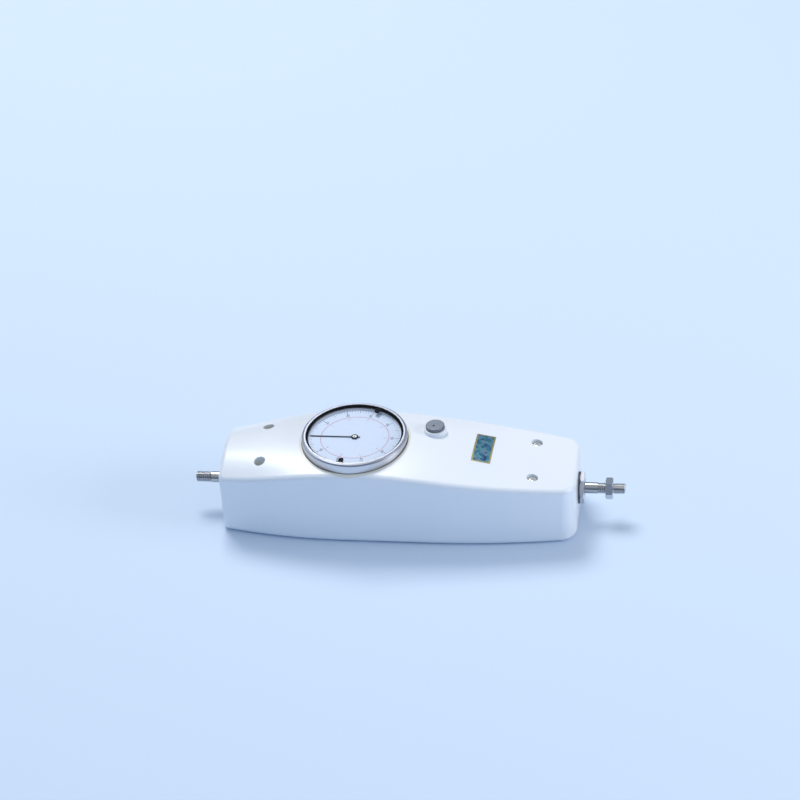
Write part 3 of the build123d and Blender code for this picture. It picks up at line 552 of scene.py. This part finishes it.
def round_corners(node, name):
    """Rounds the two upright corners at a shell's +X end."""
    shape = bmesh.new()
    shape.from_mesh(nodes[node].data)
    bmesh.ops.remove_doubles(shape, verts=shape.verts, dist=weld_distance)
    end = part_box(node)[1].x / mm
    end_points = [point for point in shape.verts if point.co.x > (end - end_slack) * mm]
    half_width = max(abs(point.co.y) for point in end_points) / mm
    for side in (-1, 1):
        fan_out(shape, end - corner_radius, half_width - corner_radius, side)
        draw_in(shape, end - corner_radius, half_width - corner_radius, side)
    rounded = piece(name, shape, "housing", case_white, nodes[node].data)
    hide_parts(node)


round_corners("front_shell", "front_case")
round_corners("rear_shell", "rear_case")

# %% [markdown]
# ## Threads on the shaft
#
# The CAD shaft has plain ends at the thread's crests. A real thread is a helical groove, so
# the ends are cut off a copy of the shaft, and rings of points whose radius also depends on
# the angle take their place. One turn of the angle moves the groove by one pitch.

# %% Shaft with threads
shaft_axis_height = 18.2
thread_pitch = 1.0
thread_depth = 0.5
thread_step = 0.1
round_parts = 40
crest_radius, relief_radius, tip_radius = 2.95, 2.45, 2.35
point_length = 0.6
left_tip, left_relief, left_cut = -87.8, -80.0, -79.4
right_cut, relief_start, relief_end, right_tip = 127.8, 135.8, 136.4, 142.2


def thread_circle(along, crest, threaded):
    """One ring of a shaft end. The groove is a V with a flat crest."""
    circle = []
    for part in range(round_parts):
        angle = 2 * math.pi * part / round_parts
        radius = crest
        if threaded:
            turn = (along / thread_pitch - angle / (2 * math.pi)) % 1.0
            radius -= thread_depth * max(0.0, 1 - abs(turn - 0.5) * 2.5)
        circle.append(
            (along * mm, radius * math.sin(angle) * mm, (shaft_axis_height + radius * math.cos(angle)) * mm)
        )
    return circle


def thread_end(shape, runs):
    """A turned end from runs of (start, end, crest at start, crest at end, threaded)."""
    circles = []
    for start, end, crest_start, crest_end, threaded in runs:
        steps = max(1, round(abs(end - start) / thread_step)) if threaded else 1
        for step in range(steps + 1):
            share = step / steps
            crest = crest_start + (crest_end - crest_start) * share
            circles.append(thread_circle(start + (end - start) * share, crest, threaded))
    rings(shape, circles)


shaft_shape = bmesh.new()
shaft_shape.from_mesh(nodes["measuring_shaft"].data)
bmesh.ops.remove_doubles(shaft_shape, verts=shaft_shape.verts, dist=weld_distance)
for cut, outwards in ((left_cut, -1), (right_cut, 1)):
    everything = [*shaft_shape.verts, *shaft_shape.edges, *shaft_shape.faces]
    bmesh.ops.bisect_plane(
        shaft_shape,
        geom=everything,
        plane_co=(cut * mm, 0, 0),
        plane_no=(outwards, 0, 0),
        clear_outer=True,
    )
    open_edges = [edge for edge in shaft_shape.edges if edge.is_boundary]
    bmesh.ops.holes_fill(shaft_shape, edges=open_edges, sides=0)
thread_end(
    shaft_shape,
    [
        (left_tip, left_tip + point_length, tip_radius, crest_radius, True),
        (left_tip + point_length, left_relief, crest_radius, crest_radius, True),
        (left_relief, left_cut, relief_radius, relief_radius, False),
    ],
)
thread_end(
    shaft_shape,
    [
        (right_cut, relief_start, crest_radius, crest_radius, True),
        (relief_start, relief_end, relief_radius, relief_radius, False),
        (relief_end, right_tip - point_length, crest_radius, crest_radius, True),
        (right_tip - point_length, right_tip, crest_radius, tip_radius, True),
    ],
)
threaded_shaft = piece("threaded_shaft", shaft_shape, "shaft", polished)
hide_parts("measuring_shaft")

# %% [markdown]
# ## Rows of marks and fasteners
#
# The dial's graduations repeat around a circle and the case screws repeat on a pattern, so
# Geometry Nodes place them. `Pattern` builds a tree with named inputs, and `grow` runs it
# and keeps the result as a plain mesh. Sizes inside the tree are in metres.

# %% Patterns


class Pattern(Tree):
    """A Geometry Nodes tree that ends in Realize Instances and Set Material."""

    def __init__(self, name, **inputs):
        super().__init__(bpy.data.node_groups.new(name, "GeometryNodeTree"))
        make = self.tree.interface.new_socket
        make("Seeds", in_out="INPUT", socket_type="NodeSocketGeometry")
        make("Geometry", in_out="OUTPUT", socket_type="NodeSocketGeometry")
        inputs["Material"] = "NodeSocketMaterial"
        self.given = {
            label: make(label, in_out="INPUT", socket_type=kind) for label, kind in inputs.items()
        }
        self.start = self.tree.nodes.new("NodeGroupInput")
        self.end = self.tree.nodes.new("NodeGroupOutput")

    def __getitem__(self, label):
        return Number(self, self.start.outputs[label])

    def close(self, geometry):
        realized = self.add("GeometryNodeRealizeInstances", None, {0: geometry})
        painted = self.add("GeometryNodeSetMaterial", None, {0: realized, "Material": self["Material"]})
        self.tree.links.new(painted.socket, self.end.inputs[0])

    def grow(self, seeds, finish, **values):
        """Runs the tree on a mesh and returns what it makes as a new mesh."""
        holder = stand("holder", seeds)
        modifier = holder.modifiers.new("pattern", "NODES")
        modifier.node_group = self.tree
        for label, value in {**values, "Material": finish.material}.items():
            modifier[self.given[label].identifier] = value
        mesh = evaluated(holder)
        holder.modifiers.clear()
        bpy.data.objects.remove(holder)
        return mesh


def points_mesh(places):
    """A mesh of loose points, for a pattern to start from."""
    mesh = bpy.data.meshes.new("points")
    mesh.from_pydata([tuple(value * mm for value in place) for place in places], [], [])
    return mesh


def merged(meshes):
    """One bmesh of several meshes."""
    shape = bmesh.new()
    for mesh in meshes:
        shape.from_mesh(mesh)
    return shape


# %% [markdown]
# ## The dial's graduations
#
# The scale runs once around the dial from the needle's rest. Ten long marks are numbered;
# a middle mark halves each step, and small marks divide it by ten. A mark is a thin bar,
# turned by its own index, and a bar is left out where a longer one stands.

# %% Graduations
dial_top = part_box("dial_face")[1].z / mm
print_height = 0.03

graduations = Pattern(
    "graduations",
    Count="NodeSocketInt",
    Radius="NodeSocketFloat",
    Length="NodeSocketFloat",
    Width="NodeSocketFloat",
    Every="NodeSocketInt",
    Keep="NodeSocketInt",
)
circle = graduations.add(
    "GeometryNodeMeshCircle",
    None,
    {"Vertices": graduations["Count"], "Radius": graduations["Radius"]},
)
index = graduations.add("GeometryNodeInputIndex")
angle = index * (2 * math.pi) / graduations["Count"]
turn = graduations.add("ShaderNodeCombineXYZ", None, {2: angle})
bar_size = graduations.add(
    "ShaderNodeCombineXYZ",
    None,
    {0: graduations["Length"], 1: graduations["Width"], 2: print_height * mm},
)
bar = graduations.add("GeometryNodeMeshCube", None, {"Size": bar_size})
rest = index % graduations["Every"]
chosen = rest.maths("COMPARE", rest, 0.0, 0.5)
wanted = (chosen - graduations["Keep"]).whole() < 0.5
standing = graduations.add(
    "GeometryNodeInstanceOnPoints",
    None,
    {"Points": circle, "Selection": wanted, "Instance": bar, "Rotation": turn},
)
lifted = graduations.add(
    "GeometryNodeTransform",
    None,
    {0: standing, "Translation": (0, 0, (dial_top + print_height / 2) * mm)},
)
graduations.close(lifted)


def marks(finish, count, inner, outer, width, every=1, keep=1):
    """Marks from one radius to another: one of every few, or with keep at 0 all the others."""
    return graduations.grow(
        points_mesh([(0, 0, 0)]),
        finish,
        Count=count,
        Radius=(inner + outer) / 2 * mm,
        Length=(outer - inner) * mm,
        Width=width * mm,
        Every=every,
        Keep=keep,
    )


scale_rim = 24.0
long_mark, middle_mark, small_mark = 2.8, 2.1, 1.2
scale_marks = [
    marks(print_black, 10, scale_rim - long_mark, scale_rim, 0.24),
    marks(print_black, 20, scale_rim - middle_mark, scale_rim, 0.18, every=2, keep=0),
    marks(print_black, 100, scale_rim - small_mark, scale_rim, 0.12, every=5, keep=0),
]
print("Marks on the black scale:", sum(len(mesh.polygons) // 6 for mesh in scale_marks))

# %% [markdown]
# ## Numbers and the red inner scale
#
# The numbers stand upright for a reader who has the zero at the top, which is the needle's
# side of the gauge. Text is made a mesh before it is placed. The inner circle is a flat ring
# with short red marks inside it, for a second unit.

# %% Numbers and red scale
zero_deg = 180.0
step_deg = -36.0
black_height, black_radius = 2.3, 19.9
red_height, red_radius = 1.5, 16.0
red_rim, red_line = 18.0, 0.22


def number_mesh(text, height, around_deg, radius):
    """A number as a mesh on the dial, centred at a radius and an angle about the dial."""
    curve = bpy.data.curves.new("number", "FONT")
    curve.body = text
    curve.size = height * mm
    curve.align_x = "CENTER"
    curve.align_y = "CENTER"
    curve.extrude = print_height / 2 * mm
    curve.resolution_u = 3
    holder = stand("number", curve)
    mesh = evaluated(holder)
    bpy.data.objects.remove(holder)
    around = math.radians(around_deg)
    middle = dial_top + print_height / 2
    place = Vector((radius * math.cos(around), radius * math.sin(around), middle)) * mm
    mesh.transform(Matrix.Translation(place) @ Matrix.Rotation(math.radians(90), 4, "Z"))
    return mesh


black_numbers, red_numbers = [], []
for step in range(10):
    around_deg = zero_deg + step * step_deg
    black_numbers.append(number_mesh(str(10 * step), black_height, around_deg, black_radius))
    red_numbers.append(number_mesh(str(step), red_height, around_deg, red_radius))
piece("dial_print_black", merged(scale_marks + black_numbers), "dial", print_black)

red_marks = [
    marks(print_red, 10, red_rim - 1.0, red_rim, 0.2),
    marks(print_red, 50, red_rim - 0.5, red_rim, 0.12, every=5, keep=0),
]
red_scale = merged(red_marks + red_numbers)
print_top = dial_top + print_height
line_outer = red_rim + red_line
line_profile = [(red_rim, dial_top), (line_outer, dial_top), (line_outer, print_top), (red_rim, print_top)]
revolve(red_scale, line_profile, 120)
piece("dial_print_red", red_scale, "dial", print_red)

# %% [markdown]
# ## Small marks on the hub and the button
#
# The hub's cap gets a thin black bar across it: painted shade that stands for a slot, as a
# pressed-on cap has for a tool. The button's cap gets a small black disc: painted shade that
# stands for a small dimple in it.

# %% Small marks


def disc(shape, centre, radius, bottom, top, parts=24):
    """A small upright cylinder with a softened top edge, in millimetres."""
    soft = min(0.25 * (top - bottom), 0.2 * radius)
    profile = [(radius, bottom), (radius, top - soft), (radius - soft, top)]
    rings(shape, [level_circle(size, rise, parts, centre) for size, rise in profile])


def bar_shape(shape, centre, length, width, bottom, top, turn_deg):
    """A thin straight bar, in millimetres."""
    box = bmesh.ops.create_cube(shape, size=1.0)["verts"]
    place = Matrix.Translation(Vector((centre[0], centre[1], (bottom + top) / 2)) * mm)
    turned = Matrix.Rotation(math.radians(turn_deg), 4, "Z")
    scaled = Matrix.Diagonal((length * mm, width * mm, (top - bottom) * mm, 1))
    bmesh.ops.transform(shape, matrix=place @ turned @ scaled, verts=box)


slot_length, slot_width, slot_turn_deg = 1.9, 0.42, 62
dot_radius, dot_left, dot_front = 0.6, 0.7, 0.8

cap_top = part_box("hub_cap")[1].z / mm
# painted shade: a flat black bar on the cap stands for the shade inside a slot
hub_slot = bmesh.new()
bar_shape(hub_slot, (0, 0), slot_length, slot_width, cap_top, cap_top + print_height, slot_turn_deg)
piece("hub_slot", hub_slot, "needle", needle_black)

button_low, button_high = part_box("button_cap")
button_centre = (button_low + button_high) / 2 / mm
button_top = button_high.z / mm
dot_centre = (button_centre.x - dot_left, button_centre.y - dot_front)
# painted shade: a flat black disc on the cap stands for the shade inside a small dimple
button_dot = bmesh.new()
disc(button_dot, dot_centre, dot_radius, button_top, button_top + print_height)
piece("button_dot", button_dot, "button", marker_black)

# %% [markdown]
# ## The gasket in the bezel
#
# A thin black rubber ring lies on the glass against the bezel's inner wall. Its face slopes
# down towards the dial, so it shows as a fine dark line all the way round.

# %% Gasket
glass_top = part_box("crystal")[1].z / mm
gasket_profile = [
    (25.55, glass_top),
    (25.55, glass_top + 0.6),
    (25.3, glass_top + 0.55),
    (24.8, glass_top + 0.12),
    (24.7, glass_top),
]
gasket = bmesh.new()
revolve(gasket, gasket_profile, 128)
piece("glass_gasket", gasket, "housing", rubber)

# %% [markdown]
# ## Case screws
#
# The case is held by four cross-head screws at the bottom of their recesses. One screw is
# turned from a profile, and two tapered arms are cut out of its domed head with Boolean
# modifiers. A second tree stands it on the four seats, each turned to where it came tight.

# %% Case screws
screw_parts = 32
seats = [(screw_left, 31.0), (94.8, 32.6)]
screw_length = seats[0][1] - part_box("case_screws")[0].z / mm
head_profile = [(0.5, 2.0), (1.2, 1.95), (2.0, 1.68), (2.5, 1.2), (2.7, 0.6), (2.7, 0.0), (1.5, 0.0)]
shank_profile = [(1.5, 0.8 - screw_length), (0.9, -screw_length)]
arm_mouth, arm_floor = (3.5, 0.8, 2.2), (1.3, 0.5, 0.7)


def cross_arm(turn_deg):
    """One arm of the cross, which narrows towards its floor."""
    arm = bmesh.new()
    for corner in bmesh.ops.create_cube(arm, size=1.0)["verts"]:
        length, width, rise = arm_floor if corner.co.z < 0 else arm_mouth
        corner.co = Vector((corner.co.x * length, corner.co.y * width, rise)) * mm
    bmesh.ops.rotate(arm, verts=arm.verts, matrix=Matrix.Rotation(math.radians(turn_deg), 3, "Z"))
    return stand("arm", mesh_of("arm", arm))


screw_shape = bmesh.new()
profile = head_profile + shank_profile
rings(screw_shape, [level_circle(size, rise, screw_parts) for size, rise in profile])
bmesh.ops.recalc_face_normals(screw_shape, faces=screw_shape.faces)
screw = stand("screw", mesh_of("screw", screw_shape))
arms = [cross_arm(turn_deg) for turn_deg in (0, 90)]
for arm in arms:
    cut = screw.modifiers.new("cross", "BOOLEAN")
    cut.operation = "DIFFERENCE"
    cut.solver = "EXACT"
    cut.object = arm
cut_mesh = evaluated(screw)
screw.modifiers.clear()
screw.data = cut_mesh
for arm in arms:
    bpy.data.objects.remove(arm)

fasteners = Pattern(
    "fasteners",
    Fastener="NodeSocketObject",
    Turn="NodeSocketFloat",
    Spread="NodeSocketFloat",
    Seed="NodeSocketInt",
)
one_screw = fasteners.add("GeometryNodeObjectInfo", None, {"Object": fasteners["Fastener"]}, "Geometry")
drift = fasteners.add(
    "FunctionNodeRandomValue",
    {"data_type": "FLOAT"},
    {2: -1.0, 3: 1.0, "Seed": fasteners["Seed"]},
    1,
)
twist = fasteners.add("ShaderNodeCombineXYZ", None, {2: fasteners["Turn"] + drift * fasteners["Spread"]})
fasteners.close(
    fasteners.add(
        "GeometryNodeInstanceOnPoints",
        None,
        {"Points": fasteners["Seeds"], "Instance": one_screw, "Rotation": twist},
    )
)
screw_places = [(along, over * screw_side, seat) for along, seat in seats for over in (-1, 1)]
screws_mesh = fasteners.grow(
    points_mesh(screw_places),
    zinc,
    Fastener=screw,
    Turn=math.radians(45),
    Spread=math.radians(18),
    Seed=4,
)
bpy.data.objects.remove(screw)
cross_screws = piece("cross_screws", merged([screws_mesh]), "housing", zinc)
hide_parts("case_screws")

# %% [markdown]
# ## The foil label
#
# A small foil sticker lies on the long end of the case. It follows the crowned surface, so
# each of its points is dropped onto the shell by a ray. Its face is bare foil with a gold
# edge: an interference film that drifts between teal and violet.

# %% Foil label
label_centre = Vector((67.8, 2.5))
label_size = (10.0, 24.2)
label_turn = math.radians(-2.5)
label_parts = (10, 24)
foil_thickness = 0.08
glue_gap = 0.01
ray_height = 80
foil_face = Vector((4.15, 11.3))

foil = Finish("foil", metallic=0.85)
x, y, z = foil.axes()
along = (x - label_centre.x) * math.cos(label_turn) + (y - label_centre.y) * math.sin(label_turn)
over = (y - label_centre.y) * math.cos(label_turn) - (x - label_centre.x) * math.sin(label_turn)
edge = (along.whole() > foil_face.x).most(over.whole() > foil_face.y)
mottle = foil.noise(2.6, 4)
film = foil.add(
    "ShaderNodeValToRGB",
    {
        "stops": [
            (0.30, (0.03, 0.06, 0.16)),
            (0.44, (0.07, 0.22, 0.34)),
            (0.52, (0.12, 0.34, 0.36)),
            (0.60, (0.20, 0.30, 0.44)),
            (0.70, (0.08, 0.10, 0.26)),
        ]
    },
    {0: mottle},
)
gold = foil.blend(foil.noise(1.2, 3), (0.34, 0.26, 0.08, 1), (0.62, 0.56, 0.26, 1))
foil.feed("Base Color", foil.blend(edge, film, gold))
foil.feed("Roughness", 0.26 + 0.2 * foil.noise(1.5, 3))
foil.bump(foil.noise(1.0, 3), 0.01)

shell_shape = bmesh.new()
shell_shape.from_mesh(nodes["front_shell"].data)
shell_surface = BVHTree.FromBMesh(shell_shape)
shell_shape.free()


def on_shell(across_share, along_share):
    """The point of the shell under a point of the label, which is given by shares of its size."""
    flat = Vector(((across_share - 0.5) * label_size[0], (along_share - 0.5) * label_size[1]))
    place = label_centre + Matrix.Rotation(label_turn, 2) @ flat
    above = Vector((place.x, place.y, ray_height)) * mm
    return shell_surface.ray_cast(above, Vector((0, 0, -1)))[0]


label_shape = bmesh.new()
lift = Vector((0, 0, (glue_gap + foil_thickness) * mm))
columns, rows = label_parts
grid = [
    [label_shape.verts.new(on_shell(column / columns, row / rows) + lift) for column in range(columns + 1)]
    for row in range(rows + 1)
]
for near, far in zip(grid, grid[1:]):
    for column in range(columns):
        label_shape.faces.new((near[column], near[column + 1], far[column + 1], far[column]))
sunk = bmesh.ops.extrude_face_region(label_shape, geom=list(label_shape.faces))["geom"]
low_side = [part for part in sunk if isinstance(part, bmesh.types.BMVert)]
bmesh.ops.translate(label_shape, verts=low_side, vec=(0, 0, -foil_thickness * mm))
piece("foil_label", label_shape, "housing", foil)

# %% [markdown]
# ## Floor, lamps and surroundings
#
# A pale floor, and one large soft lamp above and behind the gauge on its short end's side,
# so that the near long side lies in a soft shade. The world is darker near the horizon,
# which gives the round metal parts something to reflect. The floor can't be seen from below.

# %% Stage
floor_reach = 4.0
floor_drop = 0.2

floor_shape = bmesh.new()
bmesh.ops.create_grid(floor_shape, x_segments=1, y_segments=1, size=floor_reach)
floor = stand("floor", mesh_of("floor", floor_shape))
floor.location.z = cad_box[0][2] - floor_drop * mm
floor_paint = Finish("floor_paint", roughness=0.8, base_color=(0.62, 0.73, 0.88, 1))
underside = floor_paint.add("ShaderNodeNewGeometry", output="Backfacing")
floor_paint.feed("Alpha", 1 - underside)
floor.data.materials.append(floor_paint.material)

world = bpy.data.worlds.new("studio")
bpy.context.scene.world = world
world.use_nodes = True
studio = Tree(world.node_tree)
facing = studio.add("ShaderNodeTexCoord", output="Generated")
height = studio.add("ShaderNodeSeparateXYZ", None, {0: facing}, "Z")
walls = studio.add(
    "ShaderNodeValToRGB",
    {
        "stops": [
            (0.0, (0.24, 0.33, 0.46)),
            (0.12, (0.10, 0.16, 0.26)),
            (0.45, (0.56, 0.67, 0.84)),
            (1.0, (0.88, 0.94, 1.0)),
        ]
    },
    {0: height},
)
sky = world.node_tree.nodes["Background"]
world.node_tree.links.new(walls.socket, sky.inputs["Color"])
sky.inputs["Strength"].default_value = 0.6


def lamp(name, place, aim, size, power, colour=(1, 1, 1)):
    """A square soft lamp that looks at a point."""
    light = bpy.data.lights.new(name, "AREA")
    light.size = size
    light.energy = power
    light.color = colour
    holder = stand(name, light)
    holder.location = place
    holder.rotation_euler = (Vector(aim) - Vector(place)).to_track_quat("-Z", "Y").to_euler()
    return holder


lamp("key_lamp", (-0.45, 0.95, 1.7), (0.02, 0, 0.03), 0.8, 23.0)
lamp("side_lamp", (1.25, -0.12, 0.5), (0.1, 0, 0.02), 0.5, 6.0)
fill = lamp("fill_lamp", (-0.1, -1.5, 0.5), (0, 0, 0.03), 0.9, 3.6, (0.3, 0.6, 1.0))
fill.visible_glossy = False
